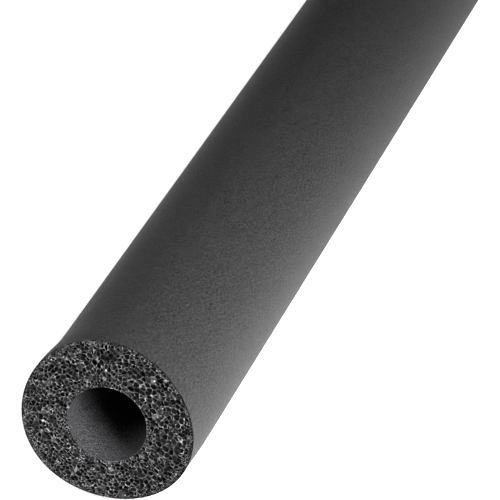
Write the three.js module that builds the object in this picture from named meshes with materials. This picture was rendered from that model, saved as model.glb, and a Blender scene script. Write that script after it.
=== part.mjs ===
// One stick of elastomeric foam pipe insulation: a soft rubber tube that slips over a copper pipe.
// It is foamed and extruded as one piece, with a closed skin outside and in its bore, and both ends
// are cut square with a knife. The tube lies on the ground along Y, with its front end towards -Y.
// Units are millimetres, +Z is up, and the origin is the middle of the line that it rests on.
import * as THREE from "three";

// The section, which is the same all along the stick.
const PIPE_DIAMETER = 22; // the copper pipe that it is sold for
const BORE_CLEARANCE = 0.5; // how much wider than that pipe the bore is
const WALL = 13; // foam from the bore to the outer skin
const LENGTH = 1000; // one stick, as sold

// The knife squeezed the front end, and the soft foam has set a little out of round there.
const LIP_LENGTH = 20; // how far in from the cut the spread dies away
const LIP_LEAN = 0.9; // the end, with its bore, leans this far towards -X
const LIP_RISE = 1.0; // the skin stands out this far at the top, and is drawn in as far below
const LIP_OVAL = 0.4; // the cut is this much longer than round across its long axis
const LIP_LOBES = 0.4; // and this much three-cornered, which makes it egg-shaped
const LIP_AXIS = THREE.MathUtils.degToRad(-30); // the corner of the egg, from +X towards +Z

// How finely the round surfaces are divided.
const SIDES = 64;
const LIP_RINGS = 5;

const boreRadius = (PIPE_DIAMETER + BORE_CLEARANCE) / 2;
const skinRadius = boreRadius + WALL;
const halfSide = Math.PI / SIDES;
const axisHeight = skinRadius * Math.cos(halfSide);

// The profile runs out along the front cut, back along the skin, in along the far cut and forward
// through the bore, and it closes on itself. Its Y is the distance from the front cut.
function tubeProfile() {
  const steps = Array.from({ length: LIP_RINGS + 1 }, (_, i) => (LIP_LENGTH * i) / LIP_RINGS);
  const skin = [...steps, LENGTH].map((y) => new THREE.Vector2(skinRadius, y));
  const bore = [LENGTH, ...steps.toReversed()].map((y) => new THREE.Vector2(boreRadius, y));
  return [...skin, ...bore, skin[0].clone()];
}

// How far the skin has spread at the front cut, at an angle measured from +X towards +Z.
function skinSpread(angle) {
  const corner = angle - LIP_AXIS;
  return LIP_RISE * Math.sin(angle) + LIP_OVAL * Math.cos(2 * corner) + LIP_LOBES * Math.cos(3 * corner);
}

// Gives the front end its lean and its egg shape, which fade into the round section.
function shapeLip(geometry) {
  const position = geometry.getAttribute("position");
  const middle = (boreRadius + skinRadius) / 2;
  for (let i = 0; i < position.count; i++) {
    const [x, y, z] = [position.getX(i), position.getY(i), position.getZ(i)];
    const share = 1 - THREE.MathUtils.smoothstep(y, 0, LIP_LENGTH);
    const radius = Math.hypot(x, z);
    const spread = radius > middle ? skinSpread(Math.atan2(z, x)) : 0;
    const scale = 1 + (share * spread) / radius;
    position.setXYZ(i, x * scale - share * LIP_LEAN, y, z * scale);
  }
  geometry.computeVertexNormals();
  return geometry;
}

function foamTube() {
  const geometry = new THREE.LatheGeometry(tubeProfile(), SIDES, halfSide);
  const rubber = new THREE.MeshStandardMaterial({ color: 0x2e2e30, roughness: 0.75, metalness: 0 });
  const mesh = new THREE.Mesh(shapeLip(geometry), rubber);
  mesh.name = "foam_tube";
  mesh.position.set(0, -LENGTH / 2, axisHeight);
  return mesh;
}

const lagging = new THREE.Group();
lagging.add(foamTube());

export default lagging;
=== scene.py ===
"""One stick of black elastomeric foam pipe insulation: its finish, its floor, its light and its camera.

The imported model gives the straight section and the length. The walls, outside and in the bore, are made
by Geometry Nodes from named sizes, and each cut end is modelled with the open cells that the knife laid
bare. The cells are the hollows of a foam of random bubbles, so each is a rounded cell of a Voronoi
division of space around seeds that keep their distance from each other, closer together near the skins.
"""
import math

import bpy
import numpy as np
from mathutils import Matrix, Vector
from mathutils.geometry import delaunay_2d_cdt


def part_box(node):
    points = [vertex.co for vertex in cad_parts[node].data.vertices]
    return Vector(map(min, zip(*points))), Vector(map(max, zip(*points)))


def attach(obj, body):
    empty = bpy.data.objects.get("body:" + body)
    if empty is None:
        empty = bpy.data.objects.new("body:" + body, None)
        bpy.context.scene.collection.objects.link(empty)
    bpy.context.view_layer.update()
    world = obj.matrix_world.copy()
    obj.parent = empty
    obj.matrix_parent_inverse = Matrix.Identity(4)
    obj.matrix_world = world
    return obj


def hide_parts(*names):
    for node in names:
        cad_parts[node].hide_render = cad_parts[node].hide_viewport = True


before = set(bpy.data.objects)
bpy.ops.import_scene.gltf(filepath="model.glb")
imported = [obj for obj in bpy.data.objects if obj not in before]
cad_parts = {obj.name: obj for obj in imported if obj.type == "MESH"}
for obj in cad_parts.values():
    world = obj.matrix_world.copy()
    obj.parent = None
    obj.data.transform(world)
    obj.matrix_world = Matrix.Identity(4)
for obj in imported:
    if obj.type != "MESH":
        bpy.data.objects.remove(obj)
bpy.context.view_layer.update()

MM = 0.001
ON_THE_CUT = 1e-6  # in metres: a point this close to a cut lies on it

# The lip of the front end, in millimetres and degrees, with the same values as the solid has.
LIP_LENGTH = 20.0
LIP_LEAN = 0.9
LIP_RISE = 1.0
LIP_OVAL = 0.4
LIP_LOBES = 0.4
LIP_AXIS = -30.0

# How finely the walls of the tube are divided.
SKIN_SIDES = 240
BORE_SIDES = 144
WALL_RINGS = 22
RING_GATHER = 4.0  # a higher power gathers the rings closer to the front end

# How far apart the cells lie, in millimetres and degrees. An angle runs from the right towards the top.
CELL_PITCH = 1.04
CELL_SPREAD = (0.70, 1.35)  # the smallest and the largest spacing of single cells, as shares of the pitch
LARGER_TOWARDS = 15.0  # the cells are larger on this side of the tube
LARGER_BY = 0.13
UNEVEN_SIZE = 0.16
UNEVEN_STRETCH = 0.38
PULLED = ((-42, 26, 0.90), (96, 20, 0.60))  # where the knife drew the cells out: angle, reach, amount
PULLED_SIZE = 0.35
TURN_STEPS = 720

# How deep the cells are crowded under a skin, in millimetres, and the shares of their height and width
# that are left at the skin itself.
SKIN_CROWDING = (2.2, 0.34, 0.52)
BORE_CROWDING = (1.6, 0.50, 0.66)

# The layer of foam around a cut whose seeds are drawn, in millimetres.
LAYER_ABOVE = 1.5
LAYER_BELOW = 2.0
SKIN_THICKNESS = 0.12
SEEDS_UNDER_SKIN = (0.35, 1.8)  # the share of the seeds drawn close to the outer skin, and how close
SEEDS_OVER_BORE = (0.15, 1.2)  # the same for the skin of the bore
SEED_ROUNDS = 26
SEED_BATCH = 2500

# The shape of the open cells, in millimetres.
CELL_WALL = (0.03, 0.15)
CELL_NEIGHBOURS = 70  # how many of the nearest seeds bound a cell
CORNER_ROUND = 14.0  # a higher power leaves the corners of the cells sharper
SMALLEST_OPENING = 0.02  # in square millimetres
SMALLEST_ROOM = 0.02  # a cell with less room than this around the middle of its opening stays closed
SHALLOWEST = 0.35  # the least depth of a hollow, but for the covered ones
LEANING_FROM = 0.25  # a cell whose seed lies less deep than this is carved straight down
LOWEST = 0.97  # how far down its cell the lowest point of a hollow lies, as a share
LEAST_ROOM = 0.001  # keeps a ring open where its middle leaves the cell
COVERED = 0.12  # the share of cells that the knife only just opened
COVERED_DEPTH = (0.12, 0.28)
TORN_POINT = 0.09  # how far the knife tore single points of a rim down
TORN_RIM = 0.13  # and whole rims

# The grid of spots that finds the middle of each opening, in millimetres and degrees.
SECTION_GRID = 0.13
SECTORS = 72
SECTOR_REACH = 14.0  # how far from the middle of a sector the seeds lie that its spots may go to

# The two cuts. The front one is seen from close by, so its hollows have more sides and levels.
FRONT_CUT = {"seed": 11, "sides": 10, "levels": (0.0, 0.3, 0.75)}
FAR_CUT = {"seed": 23, "sides": 6, "levels": (0.0, 0.5)}

# How pale the torn rubber is from point to point, its palest points being painted glints, and how wide in
# millimetres its darker edge is.
PALE_DRAW = (0.06, 1.13)
PALE_POWER = 2.4  # a higher power leaves fewer pale points and fewer painted glints
EDGE_PALENESS = 0.25
EDGE_WIDTH = 0.95
EDGE_WIDER_RIGHT = 0.35  # so much wider on the right of the tube, and narrower on its left

# The colour of the cut rubber by its depth below the cut, in millimetres: pale at the cut as painted
# highlights on the ridges, and darker down into the cells as painted shade in the hollows.
CUT_HIGHLIGHT_AND_SHADE_TONES = (
    (0.0, "#e8e8e8"),
    (0.05, "#909090"),
    (0.15, "#424242"),
    (0.28, "#080808"),
    (0.50, "#010101"),
)
PALE_TONE = (0.008, 0.61)  # the share of that colour where the rubber is least and most pale, the most pale points being painted glints
SHRED_SIZE = 0.4  # the torn shreds of cell wall, in millimetres
SHRED_EDGE = (0.34, 0.66)  # the part of the noise in which the shreds turn from dark to pale
SHRED_TONE = (0.4, 1.8)  # how much the dark and the pale shreds change the colour

# The two skins: their dark tone and the light tone of their grain, whose pale specks are painted highlights
# of the blisters, and the width and height of their grain in millimetres.
SKIN_FINISH = {"dark": "#070707", "light": "#3e3e3f", "grain": 0.38, "depth": 0.38}
BORE_FINISH = {"dark": "#050505", "light": "#515153", "grain": 0.38, "depth": 0.8}
HIGHLIGHT_SPECK_EDGE = (0.35, 0.72)  # the part of the noise in which the specks turn from dark to light, the light specks being painted highlights
PEEL_WIDER = 1.8  # the bumps of the peel are so much wider than its specks
GRAIN_TURN = (0.61, 0.37, 0.94)  # unturned, the grid of the noise would show as fine lines along the tube
GRAIN_STEP = 2.17  # and with a step of 2 the finer noise would repeat that grid

# The camera, as the photograph has it, in degrees and metres.
CAMERA_AZIMUTH = 15.85
CAMERA_ELEVATION = 25.58
CAMERA_BACK = 1.08257
CAMERA_RIGHT = 0.03783
CAMERA_RISE = 0.04731
LENS_MM = 288.0
SENSOR_MM = 36.0

# The studio, in metres, watts and degrees: a light table for a floor, dim white walls and soft lights.
FLOOR_HALF = 8.0
FLOOR_GLOW = 0.72
WALL_BRIGHTNESS = 0.16
DARK_WALL_WAY = (-0.15, 0.97, 0.2)  # where the dark wall stands, seen from the tube
DARK_WALL_EDGE = (0.1, 0.8)  # it begins and is whole at these cosines of the angle to its middle
SOFTBOXES = (
    {
        "name": "near_key",
        "place": (0.38, -0.76, 0.32),
        "target": (0, -0.45, 0.02),
        "side": 0.3,
        "power": 2.0,
        "spread": 70,
    },
    {
        "name": "front_fill",
        "place": (-0.5, -1.1, 0.5),
        "target": (0, -0.45, 0.02),
        "side": 0.5,
        "power": 5.8,
        "spread": 180,
    },
    {
        "name": "back_key",
        "place": (0.5, 1.2, 0.8),
        "target": (0, 0.62, 0.02),
        "side": 0.6,
        "power": 2.6,
        "spread": 38,
    },
)


def linear(hex_colour):
    """An sRGB colour such as "#2e2e30" as linear red, green, blue and alpha."""
    parts = [int(hex_colour[i : i + 2], 16) / 255 for i in (1, 3, 5)]
    return tuple(c / 12.92 if c <= 0.04045 else ((c + 0.055) / 1.055) ** 2.4 for c in parts) + (1.0,)


def add_node(tree, kind, inputs=None, **settings):
    """Adds a node to a tree. inputs gives, by socket name or number, a value, the output to link from, or
    a node whose first output is meant."""
    node = tree.nodes.new(kind)
    for name, value in settings.items():
        setattr(node, name, value)
    for key, value in (inputs or {}).items():
        source = value.outputs[0] if isinstance(value, bpy.types.Node) else value
        if isinstance(source, bpy.types.NodeSocket):
            tree.links.new(source, node.inputs[key])
        else:
            node.inputs[key].default_value = source
    return node


def measure_tube(node):
    """Length, axis height and the two radii of the straight section, read from the far cut of the solid.
    The round tube rests on the floor, so its axis lies one outer radius above it."""
    low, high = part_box(node)
    corners = np.array([v.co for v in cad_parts[node].data.vertices])
    far = corners[corners[:, 1] > high.y - ON_THE_CUT]
    middle = (far[:, 2].min() + far[:, 2].max()) / 2
    reach = np.hypot(far[:, 0], far[:, 2] - middle)
    return {
        "length": high.y - low.y,
        "axis_height": float(reach.max()),
        "skin_radius": float(reach.max()),
        "bore_radius": float(reach.min()),
    }


def tube_wall_tree():
    """The Geometry Nodes tree of one wall of the tube: an open cylinder, closer rings near its front end,
    whose front end is bent into the lip."""
    tree = bpy.data.node_groups.new("tube_wall", "GeometryNodeTree")
    sizes = (
        ("Radius", "NodeSocketFloat"),
        ("Length", "NodeSocketFloat"),
        ("Axis Height", "NodeSocketFloat"),
        ("Sides", "NodeSocketInt"),
        ("Rings", "NodeSocketInt"),
        ("Lip Length", "NodeSocketFloat"),
        ("Lip Lean", "NodeSocketFloat"),
        ("Lip Rise", "NodeSocketFloat"),
        ("Lip Oval", "NodeSocketFloat"),
        ("Lip Lobes", "NodeSocketFloat"),
        ("Lip Axis", "NodeSocketFloat"),
        ("Ring Gather", "NodeSocketFloat"),
        ("Inward", "NodeSocketBool"),
        ("Material", "NodeSocketMaterial"),
    )
    for name, kind in sizes:
        tree.interface.new_socket(name, in_out="INPUT", socket_type=kind)
    tree.interface.new_socket("Geometry", in_out="OUTPUT", socket_type="NodeSocketGeometry")
    size = tree.nodes.new("NodeGroupInput").outputs
    pipe = add_node(
        tree,
        "GeometryNodeMeshCylinder",
        {"Vertices": size["Sides"], "Side Segments": size["Rings"], "Radius": 1.0, "Depth": 1.0},
        fill_type="NONE",
    )
    # Where a point of the pipe lies: its angle round the pipe and its distance from the front cut.
    place = add_node(tree, "GeometryNodeInputPosition")
    corner = add_node(tree, "ShaderNodeSeparateXYZ", {0: place}).outputs
    angle = add_node(tree, "ShaderNodeMath", {0: corner[1], 1: corner[0]}, operation="ARCTAN2")
    sine = add_node(tree, "ShaderNodeMath", {0: angle}, operation="SINE")
    cosine = add_node(tree, "ShaderNodeMath", {0: angle}, operation="COSINE")
    share_along = add_node(tree, "ShaderNodeMath", {0: corner[2], 1: 0.5}, operation="ADD")
    gather = size["Ring Gather"]
    gathered = add_node(tree, "ShaderNodeMath", {0: share_along, 1: gather}, operation="POWER")
    along = add_node(tree, "ShaderNodeMath", {0: gathered, 1: size["Length"]}, operation="MULTIPLY")
    # How far the skin has spread there: it rises, and its section is oval and a little three-cornered.
    turned = add_node(tree, "ShaderNodeMath", {0: angle, 1: size["Lip Axis"]}, operation="SUBTRACT")
    twice = add_node(tree, "ShaderNodeMath", {0: turned, 1: 2.0}, operation="MULTIPLY")
    thrice = add_node(tree, "ShaderNodeMath", {0: turned, 1: 3.0}, operation="MULTIPLY")
    two_waves = add_node(tree, "ShaderNodeMath", {0: twice}, operation="COSINE")
    three_waves = add_node(tree, "ShaderNodeMath", {0: thrice}, operation="COSINE")
    rise = add_node(tree, "ShaderNodeMath", {0: sine, 1: size["Lip Rise"]}, operation="MULTIPLY")
    oval = add_node(
        tree, "ShaderNodeMath", {0: two_waves, 1: size["Lip Oval"], 2: rise}, operation="MULTIPLY_ADD"
    )
    spread = add_node(
        tree, "ShaderNodeMath", {0: three_waves, 1: size["Lip Lobes"], 2: oval}, operation="MULTIPLY_ADD"
    )
    # The lip is whole at the cut and fades into the round section.
    lip = add_node(
        tree,
        "ShaderNodeMapRange",
        {"Value": along, "From Min": 0.0, "From Max": size["Lip Length"], "To Min": 1.0, "To Max": 0.0},
        interpolation_type="SMOOTHSTEP",
    )
    radius = add_node(
        tree, "ShaderNodeMath", {0: spread, 1: lip, 2: size["Radius"]}, operation="MULTIPLY_ADD"
    )
    across = add_node(tree, "ShaderNodeMath", {0: cosine, 1: radius}, operation="MULTIPLY")
    lean = add_node(tree, "ShaderNodeMath", {0: lip, 1: size["Lip Lean"]}, operation="MULTIPLY")
    leaned = add_node(tree, "ShaderNodeMath", {0: across, 1: lean}, operation="SUBTRACT")
    up = add_node(tree, "ShaderNodeMath", {0: sine, 1: radius}, operation="MULTIPLY")
    height = add_node(tree, "ShaderNodeMath", {0: up, 1: size["Axis Height"]}, operation="ADD")
    front = add_node(tree, "ShaderNodeMath", {0: size["Length"], 1: -0.5}, operation="MULTIPLY")
    depth = add_node(tree, "ShaderNodeMath", {0: along, 1: front}, operation="ADD")
    point = add_node(tree, "ShaderNodeCombineXYZ", {0: leaned, 1: depth, 2: height})
    bent = add_node(tree, "GeometryNodeSetPosition", {"Geometry": pipe, "Position": point})
    # Putting the pipe's own Z along +Y mirrors it, so the outer wall is the one whose faces are turned.
    outward = add_node(tree, "ShaderNodeMath", {0: 1.0, 1: size["Inward"]}, operation="SUBTRACT")
    flipped = add_node(tree, "GeometryNodeFlipFaces", {"Mesh": bent, "Selection": outward})
    smooth = add_node(tree, "GeometryNodeSetShadeSmooth", {"Geometry": flipped})
    real = add_node(tree, "GeometryNodeRealizeInstances", {"Geometry": smooth})
    painted = add_node(tree, "GeometryNodeSetMaterial", {"Geometry": real, "Material": size["Material"]})
    add_node(tree, "NodeGroupOutput", {"Geometry": painted})
    return tree


def evaluate_tree(name, tree, values):
    """The plain mesh that a Geometry Nodes tree makes with these values."""
    holder = bpy.data.objects.new(name, bpy.data.meshes.new(name))
    bpy.context.scene.collection.objects.link(holder)
    modifier = holder.modifiers.new(name, "NODES")
    modifier.node_group = tree
    for item in tree.interface.items_tree:
        if item.in_out == "INPUT" and item.name in values:
            modifier[item.identifier] = values[item.name]
    graph = bpy.context.evaluated_depsgraph_get()
    made = bpy.data.meshes.new_from_object(holder.evaluated_get(graph), depsgraph=graph)
    bpy.data.objects.remove(holder)
    return made


def wall_mesh(name, tree, tube, inward, material):
    """The outer skin, or with inward the skin of the bore, which leans with the lip but stays round."""
    spread = 0.0 if inward else 1.0
    return evaluate_tree(
        name,
        tree,
        {
            "Radius": tube["bore_radius" if inward else "skin_radius"],
            "Length": tube["length"],
            "Axis Height": tube["axis_height"],
            "Sides": BORE_SIDES if inward else SKIN_SIDES,
            "Rings": WALL_RINGS,
            "Lip Length": LIP_LENGTH * MM,
            "Lip Lean": LIP_LEAN * MM,
            "Lip Rise": LIP_RISE * MM * spread,
            "Lip Oval": LIP_OVAL * MM * spread,
            "Lip Lobes": LIP_LOBES * MM * spread,
            "Lip Axis": math.radians(LIP_AXIS),
            "Ring Gather": RING_GATHER,
            "Inward": inward,
            "Material": material,
        },
    )


def end_loop(mesh, y, centre):
    """The ring of points where a wall meets a cut: their numbers and their places in mm from the centre,
    in order round it."""
    corners = np.array([v.co for v in mesh.vertices])
    numbers = np.flatnonzero(np.abs(corners[:, 1] - y) < ON_THE_CUT)
    loop = (corners[numbers][:, [0, 2]] - centre) / MM
    order = np.argsort(np.arctan2(loop[:, 1], loop[:, 0]))
    return numbers[order], loop[order]


def reach_at(loop, angle):
    """How far a loop lies from its centre at these angles."""
    turns = np.arctan2(loop[:, 1], loop[:, 0])
    return np.interp(angle, turns, np.hypot(loop[:, 0], loop[:, 1]), period=2 * math.pi)


def smooth_share(value, reach):
    """0 at zero, 1 from reach on, smooth between."""
    t = np.clip(value / reach, 0, 1)
    return t * t * (3 - 2 * t)


def drift(angle, radius, phase):
    """A smooth uneven value from about -1 to 1 over the cut face, of three crossed waves 5 to 10 mm long.
    Another phase gives another such value."""
    x = radius * np.cos(angle)
    y = radius * np.sin(angle)
    first = np.sin(0.55 * x + 0.31 * y + phase)
    second = np.sin(-0.27 * x + 0.62 * y + 2.1 * phase + 1.0)
    third = np.sin(0.95 * x - 0.83 * y + 3.7 * phase + 2.0)
    return (first + second + 0.7 * third) / 2.2


def pull_at(angle):
    """How much the knife drew the cells out along the radius at these angles, 0 where it did not."""
    pull = np.zeros_like(angle)
    for middle, reach, amount in PULLED:
        off = (np.degrees(angle) - middle + 180) % 360 - 180
        pull += amount * np.exp(-((off / reach) ** 2))
    return pull


def pull_round(places, back=False):
    """Crowds places round the tube where the cells are drawn out; with back, undoes that. The radius and
    the depth, where there is one, stay."""
    before = np.linspace(-math.pi, math.pi, TURN_STEPS + 1)
    steps = 1 / (1 + pull_at((before[1:] + before[:-1]) / 2))
    after = -math.pi + 2 * math.pi * np.concatenate([[0], np.cumsum(steps)]) / steps.sum()
    if back:
        before, after = after, before
    angle = np.interp(np.arctan2(places[..., 1], places[..., 0]), before, after)
    radius = np.hypot(places[..., 0], places[..., 1])
    flat = np.stack([radius * np.cos(angle), radius * np.sin(angle)], -1)
    return np.concatenate([flat, places[..., 2:]], -1)


def cell_pitch(angle, radius, under_skin, over_bore):
    """How far apart the cells lie along the radius and round the tube, in mm, at a place in the wall.
    They are crowded and flattened under the skins, uneven, and a little larger on one side of the tube."""
    side = np.cos(angle - math.radians(LARGER_TOWARDS))
    size = CELL_PITCH * (1 + LARGER_BY * side + UNEVEN_SIZE * drift(angle, radius, phase=0.4))
    size *= 1 + PULLED_SIZE * pull_at(angle)
    stretch = 1 + UNEVEN_STRETCH * drift(angle, radius, phase=1.9)
    skin_reach, skin_height, skin_width = SKIN_CROWDING
    bore_reach, bore_height, bore_width = BORE_CROWDING
    skin = smooth_share(under_skin, skin_reach)
    bore = smooth_share(over_bore, bore_reach)
    height = np.minimum(skin_height + (1 - skin_height) * skin, bore_height + (1 - bore_height) * bore)
    width = np.minimum(skin_width + (1 - skin_width) * skin, bore_width + (1 - bore_width) * bore)
    return size * stretch * height, size / stretch * width


def draw_places(draw, count, skin, bore):
    """Random places in the wall near a cut, half of them close to the skins: the radius, angle and depth
    of each, how far it lies under the outer skin, and how far from the skin of the bore."""
    angle = draw.uniform(-math.pi, math.pi, count)
    depth = draw.uniform(-LAYER_ABOVE, LAYER_BELOW, count)
    low = reach_at(bore, angle) + SKIN_THICKNESS
    high = reach_at(skin, angle) - SKIN_THICKNESS
    kind = draw.uniform(0, 1, count)
    share = draw.uniform(0, 1, count)
    skin_share, skin_depth = SEEDS_UNDER_SKIN
    bore_share, bore_depth = SEEDS_OVER_BORE
    radius = low + share * (high - low)
    radius = np.where(kind < skin_share, high - share * skin_depth, radius)
    radius = np.where(kind > 1 - bore_share, low + share * bore_depth, radius)
    return np.stack([radius, angle, depth], 1), high - radius, radius - low


def crowded(place, radial, around, others):
    """Whether a place lies closer to one of the others than the pitch there and their spacings allow.
    Each is a radius, an angle, a depth and a spacing."""
    gap_out = (others[:, 0] - place[0]) / radial
    turn = np.abs(others[:, 1] - place[1])
    turn = np.minimum(turn, 2 * math.pi - turn)
    gap_round = turn * place[0] / around
    gap_deep = (others[:, 2] - place[2]) / around
    wanted = (others[:, 3] + place[3]) / 2
    return bool((gap_out**2 + gap_round**2 + gap_deep**2 < wanted**2).any())


def scatter_seeds(draw, skin, bore):
    """Seeds of the cells: random places, each at its distance from all those before it."""
    kept = np.zeros((0, 4))
    for _ in range(SEED_ROUNDS):
        places, under_skin, over_bore = draw_places(draw, SEED_BATCH, skin, bore)
        places = np.column_stack([places, draw.uniform(*CELL_SPREAD, SEED_BATCH)])
        radial, around = cell_pitch(places[:, 1], places[:, 0], under_skin, over_bore)
        added = np.zeros((0, 4))
        for place, out, sideways in zip(places, radial, around):
            if not crowded(place, out, sideways, kept) and not crowded(place, out, sideways, added):
                added = np.vstack([added, place])
        kept = np.vstack([kept, added])
    flat = kept[:, 0, None] * np.stack([np.cos(kept[:, 1]), np.sin(kept[:, 1])], 1)
    return np.column_stack([flat, kept[:, 2]])


def section_centres(seeds, skin, bore):
    """The cells that the cut crosses: the number of each seed, the middle of its section and its area in
    mm2. The cut is laid out as a fine grid, and sector by sector each spot goes to its nearest seed."""
    reach = np.abs(skin).max() + SECTION_GRID
    line = np.arange(-reach, reach, SECTION_GRID)
    spots = np.stack(np.meshgrid(line, line), -1).reshape(-1, 2)
    angle = np.arctan2(spots[:, 1], spots[:, 0])
    radius = np.hypot(spots[:, 0], spots[:, 1])
    under_skin = radius < reach_at(skin, angle) - SKIN_THICKNESS
    over_bore = radius > reach_at(bore, angle) + SKIN_THICKNESS
    spots = spots[under_skin & over_bore]
    angle = angle[under_skin & over_bore]
    seed_angle = np.arctan2(seeds[:, 1], seeds[:, 0])
    owner = np.zeros(len(spots), int)
    for sector in range(SECTORS):
        middle = -math.pi + (sector + 0.5) * 2 * math.pi / SECTORS
        off = np.abs((seed_angle - middle + math.pi) % (2 * math.pi) - math.pi)
        numbers = np.flatnonzero(off < math.radians(SECTOR_REACH))
        here = np.abs(angle - middle) <= math.pi / SECTORS + 1e-9
        gaps = ((spots[here][:, None, :] - seeds[None, numbers, :2]) ** 2).sum(2) + seeds[numbers, 2] ** 2
        owner[here] = numbers[gaps.argmin(1)]
    counts = np.bincount(owner, minlength=len(seeds))
    middles = np.stack([np.bincount(owner, spots[:, a], len(seeds)) for a in (0, 1)], 1)
    cells = np.flatnonzero(counts)
    return cells, middles[cells] / counts[cells, None], counts[cells] * SECTION_GRID**2


def cell_planes(seeds, cells, skin, bore, draw):
    """The planes that bound each cell, half a cell wall inside it, as outward normals and offsets."""
    own = seeds[cells]
    gaps = ((own[:, None, :] - seeds[None]) ** 2).sum(2)
    nearest = np.argsort(gaps, 1)[:, 1 : CELL_NEIGHBOURS + 1]
    normal = seeds[nearest] - own[:, None, :]
    length = np.linalg.norm(normal, axis=2, keepdims=True)
    normal = normal / length
    offset = (normal * (seeds[nearest] + own[:, None, :]) / 2).sum(2)
    offset = offset - draw.uniform(*CELL_WALL, offset.shape) / 2
    angle = np.arctan2(own[:, 1], own[:, 0])
    out = np.stack([np.cos(angle), np.sin(angle), np.zeros(len(own))], 1)[:, None, :]
    skin_offset = (reach_at(skin, angle) - SKIN_THICKNESS)[:, None]
    bore_offset = -(reach_at(bore, angle) + SKIN_THICKNESS)[:, None]
    return np.concatenate([normal, out, -out], 1), np.concatenate([offset, skin_offset, bore_offset], 1)


def room_along(normal, slack, direction):
    """How far each cell reaches from a point, whose slack to each plane is given, in a direction."""
    closing = (normal * direction[:, None, :]).sum(2)
    with np.errstate(divide="ignore"):
        reach = np.where(closing > 1e-6, slack / np.maximum(closing, 1e-6), np.inf)
    return reach.min(1)


def carve_cells(seeds, skin, bore, draw, sides, levels):
    """The hollows that the cut lays open: an array of cells x rings x sides x 3, and their lowest points.
    A ring follows the planes of its cell with rounded corners, and levels says how far down each lies."""
    cells, middle, area = section_centres(seeds, skin, bore)
    normal, offset = cell_planes(seeds, cells, skin, bore, draw)
    top = np.column_stack([middle, np.zeros(len(middle))])
    slack = offset - (normal * top[:, None, :]).sum(2)
    keep = (area > SMALLEST_OPENING) & (slack.min(1) > SMALLEST_ROOM)
    normal = normal[keep]
    offset = offset[keep]
    slack = slack[keep]
    top = top[keep]
    down = seeds[cells[keep]] - top
    down[down[:, 2] < LEANING_FROM] = (0, 0, 1)
    down /= np.linalg.norm(down, axis=1, keepdims=True)
    reach = np.maximum(room_along(normal, slack, down), SHALLOWEST)
    covered = draw.uniform(0, 1, len(top)) < COVERED
    reach = np.where(covered, draw.uniform(*COVERED_DEPTH, len(top)), reach)
    turn = draw.uniform(0, 2 * math.pi, len(top))
    spokes = turn[:, None] + np.arange(sides) * 2 * math.pi / sides
    direction = np.stack([np.cos(spokes), np.sin(spokes), np.zeros_like(spokes)], 2)
    closing = np.maximum(np.einsum("cpk,csk->cps", normal, direction), 0)
    torn = draw.uniform(0, TORN_POINT, (len(top), sides)) + draw.uniform(0, TORN_RIM, (len(top), 1))
    rings = []
    for level in levels:
        middle = top + down * (reach * level)[:, None]
        slack = np.maximum(offset - (normal * middle[:, None, :]).sum(2), LEAST_ROOM)
        away = ((closing / slack[:, :, None]) ** CORNER_ROUND).sum(1) ** (-1 / CORNER_ROUND)
        ring = middle[:, None, :] + direction * away[:, :, None]
        ring[:, :, 2] += torn * (1 - level)
        rings.append(ring)
    return np.stack(rings, 1), top + down * (reach * LOWEST)[:, None]


def face_net(loops):
    """The flat net between the outer and inner edge of a cut and the openings of its cells, as triangles.
    A triangle whose corners all lie on one loop would close an opening or the bore, so it is left out."""
    flat = np.concatenate(loops)
    owner = np.repeat(np.arange(len(loops)), [len(loop) for loop in loops])
    starts = np.cumsum([0] + [len(loop) for loop in loops])
    edges = [
        (int(start + k), int(start + (k + 1) % (end - start)))
        for start, end in zip(starts[:-1], starts[1:])
        for k in range(end - start)
    ]
    made = delaunay_2d_cdt([Vector(p) for p in flat.tolist()], edges, [], 0, 1e-7, True)
    origin = [sources[0] if sources else -1 for sources in made[3]]
    net = [[origin[k] for k in triangle] for triangle in made[2]]
    return [t for t in net if min(t) >= 0 and len({int(owner[k]) for k in t}) > 1]


def hollow_faces(rim, below, bottom, cells, sides, levels):
    """The faces down the walls of every hollow: rings of quads from its rim, closed by a fan."""
    faces = []
    for cell in range(cells):
        upper = rim + cell * sides
        for level in range(1, levels):
            lower = below + (level - 1) * cells * sides + cell * sides
            for side in range(sides):
                after = (side + 1) % sides
                faces.append([upper + side, upper + after, lower + after, lower + side])
            upper = lower
        for side in range(sides):
            faces.append([upper + side, upper + (side + 1) % sides, bottom + cell])
    return faces


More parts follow.
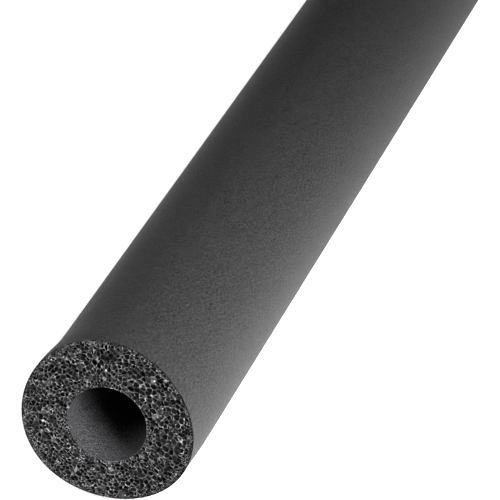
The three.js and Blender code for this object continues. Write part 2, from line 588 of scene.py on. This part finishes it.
def cut_face(skin, bore, y, into, centre, seed, sides, levels):
    """One cut end with its open cells: points in metres, the first of them those of the two edges, faces
    that look out of the tube, and for each point how pale the torn rubber is there, with painted glints
    at its palest points. The cells are made in a section that is eased open where the knife drew it out,
    and crowded again afterwards."""
    draw = np.random.default_rng(seed)
    eased_skin = pull_round(skin, back=True)
    eased_bore = pull_round(bore, back=True)
    seeds = scatter_seeds(draw, eased_skin, eased_bore)
    rings, lowest = carve_cells(seeds, eased_skin, eased_bore, draw, sides, levels)
    rings = pull_round(rings)
    lowest = pull_round(lowest)
    cells = len(rings)
    edge = len(skin) + len(bore)
    faces = face_net([skin, bore] + [ring[:, :2] for ring in rings[:, 0]])
    below = edge + cells * sides
    bottom = below + cells * sides * (len(levels) - 1)
    faces += hollow_faces(edge, below, bottom, cells, sides, len(levels))
    flat_edge = np.column_stack([np.concatenate([skin, bore]), np.zeros(edge)])
    level_places = [rings[:, i].reshape(-1, 3) for i in range(len(levels))]
    places = np.concatenate([flat_edge, *level_places, lowest])
    angle = np.arctan2(places[:, 1], places[:, 0])
    radius = np.hypot(places[:, 0], places[:, 1])
    under_skin = reach_at(skin, angle) - radius
    # Random paleness of the torn rubber; its long tail makes a few points much paler, as painted glints.
    paleness_and_glints = draw.uniform(*PALE_DRAW, len(places)) ** PALE_POWER
    edge_share = smooth_share(under_skin, EDGE_WIDTH + EDGE_WIDER_RIGHT * np.cos(angle))
    paleness_and_glints *= EDGE_PALENESS + (1 - EDGE_PALENESS) * edge_share
    metres = np.column_stack(
        [places[:, 0] * MM + centre[0], y + into * places[:, 2] * MM, places[:, 1] * MM + centre[1]]
    )
    if into < 0:
        faces = [f[::-1] for f in faces]
    return metres, faces, paleness_and_glints


def join_tube(name, walls, cuts, materials):
    """One closed mesh object from the two walls and the two cut faces, which share their edge points."""
    points = [np.array([v.co for v in wall.vertices]) for wall in walls]
    starts = [0, len(points[0])]
    total = len(points[0]) + len(points[1])
    paleness_and_glints = [np.zeros(total)]
    faces = []
    kinds = []
    for kind, wall in enumerate(walls):
        faces += [[starts[kind] + v for v in p.vertices] for p in wall.polygons]
        kinds += [kind] * len(wall.polygons)
    for edge_numbers, (metres, shapes, shades) in cuts:
        edge = np.concatenate([starts[0] + edge_numbers[0], starts[1] + edge_numbers[1]])
        number = np.concatenate([edge, total + np.arange(len(metres) - len(edge))])
        points.append(metres[len(edge) :])
        paleness_and_glints.append(shades[len(edge) :])
        total += len(metres) - len(edge)
        faces += [[int(number[v]) for v in f] for f in shapes]
        kinds += [len(walls)] * len(shapes)
    mesh = bpy.data.meshes.new(name)
    mesh.from_pydata(np.concatenate(points).tolist(), [], faces)
    for material in materials:
        mesh.materials.append(material)
    mesh.polygons.foreach_set("material_index", kinds)
    mesh.polygons.foreach_set("use_smooth", [k < len(walls) for k in kinds])
    mesh.attributes.new("paleness_and_glints", "FLOAT", "POINT").data.foreach_set("value", np.concatenate(paleness_and_glints))
    tube = bpy.data.objects.new(name, mesh)
    bpy.context.scene.collection.objects.link(tube)
    return tube


def skin_rubber(name, dark, light, grain, depth):
    """Closed-skin rubber foam, extruded and cured in hot air: black and matt, with a fine orange peel of
    tiny blisters, drawn as bumps, whose glints are painted into the colour as pale specks. The blisters are
    about
    0.2 mm across, which is too fine to show, so the grain is drawn about twice as wide. grain and depth are
    in mm."""
    material = bpy.data.materials.new(name)
    material.use_nodes = True
    tree = material.node_tree
    tree.nodes.clear()
    place = add_node(tree, "ShaderNodeTexCoord").outputs["Object"]
    turned = add_node(tree, "ShaderNodeMapping", {"Vector": place, "Rotation": GRAIN_TURN})
    # Pale specks painted into the colour as highlights of the blisters, over the dark tone of the rubber.
    highlight_specks = add_node(
        tree,
        "ShaderNodeTexNoise",
        {"Vector": turned, "Scale": 1 / (grain * MM), "Detail": 1.0, "Lacunarity": GRAIN_STEP},
    )
    peel = add_node(
        tree,
        "ShaderNodeTexNoise",
        {
            "Vector": turned,
            "Scale": 1 / (PEEL_WIDER * grain * MM),
            "Detail": 2.0,
            "Lacunarity": GRAIN_STEP,
        },
    )
    share = add_node(
        tree,
        "ShaderNodeMapRange",
        {"Value": highlight_specks, "From Min": HIGHLIGHT_SPECK_EDGE[0], "From Max": HIGHLIGHT_SPECK_EDGE[1]},
    )
    colour = add_node(
        tree, "ShaderNodeMix", {0: share, 6: linear(dark), 7: linear(light)}, data_type="RGBA"
    )
    bump = add_node(tree, "ShaderNodeBump", {"Height": peel, "Strength": 1.0, "Distance": depth * MM})
    shader = add_node(
        tree,
        "ShaderNodeBsdfPrincipled",
        {
            "Base Color": colour.outputs[2],
            "Roughness": 0.6,
            "IOR": 1.5,
            "Specular IOR Level": 0.23,
            "Normal": bump,
        },
    )
    add_node(tree, "ShaderNodeOutputMaterial", {"Surface": shader})
    return material


def cut_rubber(name, tube):
    """Knife-cut closed-cell rubber foam: the torn ridges are painted pale and uneven, as highlights where
    they catch the light, and the closed walls deep in the cells are painted black, as shade in the hollows."""
    material = bpy.data.materials.new(name)
    material.use_nodes = True
    tree = material.node_tree
    tree.nodes.clear()
    place = add_node(tree, "ShaderNodeTexCoord").outputs["Object"]
    along = add_node(tree, "ShaderNodeSeparateXYZ", {0: place}).outputs[1]
    from_middle = add_node(tree, "ShaderNodeMath", {0: along}, operation="ABSOLUTE")
    half = tube["length"] / 2
    depth = add_node(tree, "ShaderNodeMath", {0: half, 1: from_middle}, operation="SUBTRACT")
    depth_mm = add_node(tree, "ShaderNodeMapRange", {"Value": depth, "From Min": 0.0, "From Max": MM})
    # Painted highlights on the ridges at the cut, and painted shade that deepens down into the cells.
    highlight_and_shade_ramp = add_node(tree, "ShaderNodeValToRGB", {"Fac": depth_mm})
    stops = highlight_and_shade_ramp.color_ramp.elements
    stops[1].position = CUT_HIGHLIGHT_AND_SHADE_TONES[-1][0]
    for place_on, _ in CUT_HIGHLIGHT_AND_SHADE_TONES[1:-1]:
        stops.new(place_on)
    for stop, (_, tint) in zip(stops, CUT_HIGHLIGHT_AND_SHADE_TONES):
        stop.color = linear(tint)
    # Random paleness of the torn rubber, whose palest points are painted glints.
    pale_and_glints = add_node(tree, "ShaderNodeAttribute", attribute_name="paleness_and_glints").outputs["Fac"]
    tone = add_node(
        tree, "ShaderNodeMapRange", {"Value": pale_and_glints, "To Min": PALE_TONE[0], "To Max": PALE_TONE[1]}
    )
    shreds = add_node(
        tree, "ShaderNodeTexNoise", {"Vector": place, "Scale": 1 / (SHRED_SIZE * MM), "Detail": 1.0}
    )
    torn = add_node(
        tree,
        "ShaderNodeMapRange",
        {
            "Value": shreds,
            "From Min": SHRED_EDGE[0],
            "From Max": SHRED_EDGE[1],
            "To Min": SHRED_TONE[0],
            "To Max": SHRED_TONE[1],
        },
    )
    uneven = add_node(tree, "ShaderNodeMath", {0: tone, 1: torn}, operation="MULTIPLY")
    colour = add_node(
        tree, "ShaderNodeMix", {0: 1.0, 6: highlight_and_shade_ramp, 7: uneven}, data_type="RGBA", blend_type="MULTIPLY"
    )
    shader = add_node(
        tree,
        "ShaderNodeBsdfPrincipled",
        {"Base Color": colour.outputs[2], "Roughness": 0.45, "IOR": 1.5, "Specular IOR Level": 0.08},
    )
    add_node(tree, "ShaderNodeOutputMaterial", {"Surface": shader})
    return material


def place_camera(target):
    """The camera at the viewing angle of the photograph. The target lies left of and under the middle."""
    turn = math.radians(CAMERA_AZIMUTH)
    lift = math.radians(CAMERA_ELEVATION)
    back = Vector((math.sin(turn) * math.cos(lift), -math.cos(turn) * math.cos(lift), math.sin(lift)))
    right = Vector((math.cos(turn), math.sin(turn), 0.0))
    up = back.cross(right)
    data = bpy.data.cameras.new("camera")
    data.lens = LENS_MM
    data.sensor_width = SENSOR_MM
    data.sensor_fit = "HORIZONTAL"
    data.clip_start = 0.01
    data.clip_end = 100.0
    camera = bpy.data.objects.new("camera", data)
    place = target + back * CAMERA_BACK + right * CAMERA_RIGHT + up * CAMERA_RISE
    camera.matrix_world = Matrix.Translation(place) @ Matrix((right, up, back)).transposed().to_4x4()
    bpy.context.scene.collection.objects.link(camera)
    bpy.context.scene.camera = camera


def add_softbox(name, place, target, side, power, spread):
    """A square soft light that faces the target. A spread under 180 degrees is a grid on its front."""
    data = bpy.data.lights.new(name, "AREA")
    data.size = side
    data.energy = power
    data.spread = math.radians(spread)
    light = bpy.data.objects.new(name, data)
    light.location = place
    light.rotation_euler = (Vector(target) - Vector(place)).to_track_quat("-Z", "Y").to_euler()
    bpy.context.scene.collection.objects.link(light)


def studio_surroundings():
    """Dim white walls all round but for a dark one behind, which keeps the gloss on top of the tube dark."""
    world = bpy.data.worlds.new("surroundings")
    world.use_nodes = True
    tree = world.node_tree
    tree.nodes.clear()
    way = add_node(tree, "ShaderNodeTexCoord").outputs["Generated"]
    behind = add_node(tree, "ShaderNodeVectorMath", {0: way, 1: DARK_WALL_WAY}, operation="DOT_PRODUCT")
    white = add_node(
        tree,
        "ShaderNodeMapRange",
        {
            "Value": behind.outputs["Value"],
            "From Min": DARK_WALL_EDGE[0],
            "From Max": DARK_WALL_EDGE[1],
            "To Min": 1.0,
            "To Max": 0.0,
        },
        interpolation_type="SMOOTHSTEP",
    )
    walls = add_node(tree, "ShaderNodeBackground", {"Color": white, "Strength": WALL_BRIGHTNESS})
    add_node(tree, "ShaderNodeOutputWorld", {"Surface": walls})
    return world


def light_table():
    """A white floor that glows softly, so it stays white around the tube and shows hardly any shadow."""
    mesh = bpy.data.meshes.new("floor")
    corners = [(x * FLOOR_HALF, y * FLOOR_HALF, 0) for x, y in ((-1, -1), (1, -1), (1, 1), (-1, 1))]
    mesh.from_pydata(corners, [], [(0, 1, 2, 3)])
    paint = bpy.data.materials.new("floor_paint")
    paint.use_nodes = True
    paint.node_tree.nodes.clear()
    shader = add_node(
        paint.node_tree,
        "ShaderNodeBsdfPrincipled",
        {
            "Base Color": linear("#f6f6f6"),
            "Roughness": 0.9,
            "Emission Color": linear("#ffffff"),
            "Emission Strength": FLOOR_GLOW,
        },
    )
    add_node(paint.node_tree, "ShaderNodeOutputMaterial", {"Surface": shader})
    mesh.materials.append(paint)
    floor = bpy.data.objects.new("floor", mesh)
    bpy.context.scene.collection.objects.link(floor)
    return floor


def build_stage():
    """The light table, the walls and the soft lights."""
    floor = light_table()
    bpy.context.scene.world = studio_surroundings()
    for softbox in SOFTBOXES:
        add_softbox(**softbox)
    bpy.context.scene.view_settings.view_transform = "Standard"


def main():
    """Makes the tube as one piece, ties it to the frame and builds the studio."""
    tube = measure_tube("foam_tube")
    front = -tube["length"] / 2
    far = tube["length"] / 2
    place_camera(Vector((0, front, tube["axis_height"])))
    skin_material = skin_rubber("extruded_rubber_skin", **SKIN_FINISH)
    bore_material = skin_rubber("extruded_rubber_bore", **BORE_FINISH)
    cut_material = cut_rubber("knife_cut_cell_rubber", tube)
    materials = [skin_material, bore_material, cut_material]
    tree = tube_wall_tree()
    outer = wall_mesh("outer_wall", tree, tube, inward=False, material=skin_material)
    inner = wall_mesh("bore_wall", tree, tube, inward=True, material=bore_material)
    cuts = []
    for y, into, lean, cut in ((front, 1, LIP_LEAN, FRONT_CUT), (far, -1, 0.0, FAR_CUT)):
        centre = np.array([-lean * MM, tube["axis_height"]])
        skin_numbers, skin = end_loop(outer, y, centre)
        bore_numbers, bore = end_loop(inner, y, centre)
        face = cut_face(skin, bore, y, into, centre, **cut)
        cuts.append(((skin_numbers, bore_numbers), face))
    lagging = join_tube("lagging_tube", [outer, inner], cuts, materials)
    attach(lagging, "root")
    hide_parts("foam_tube")
    build_stage()


main()
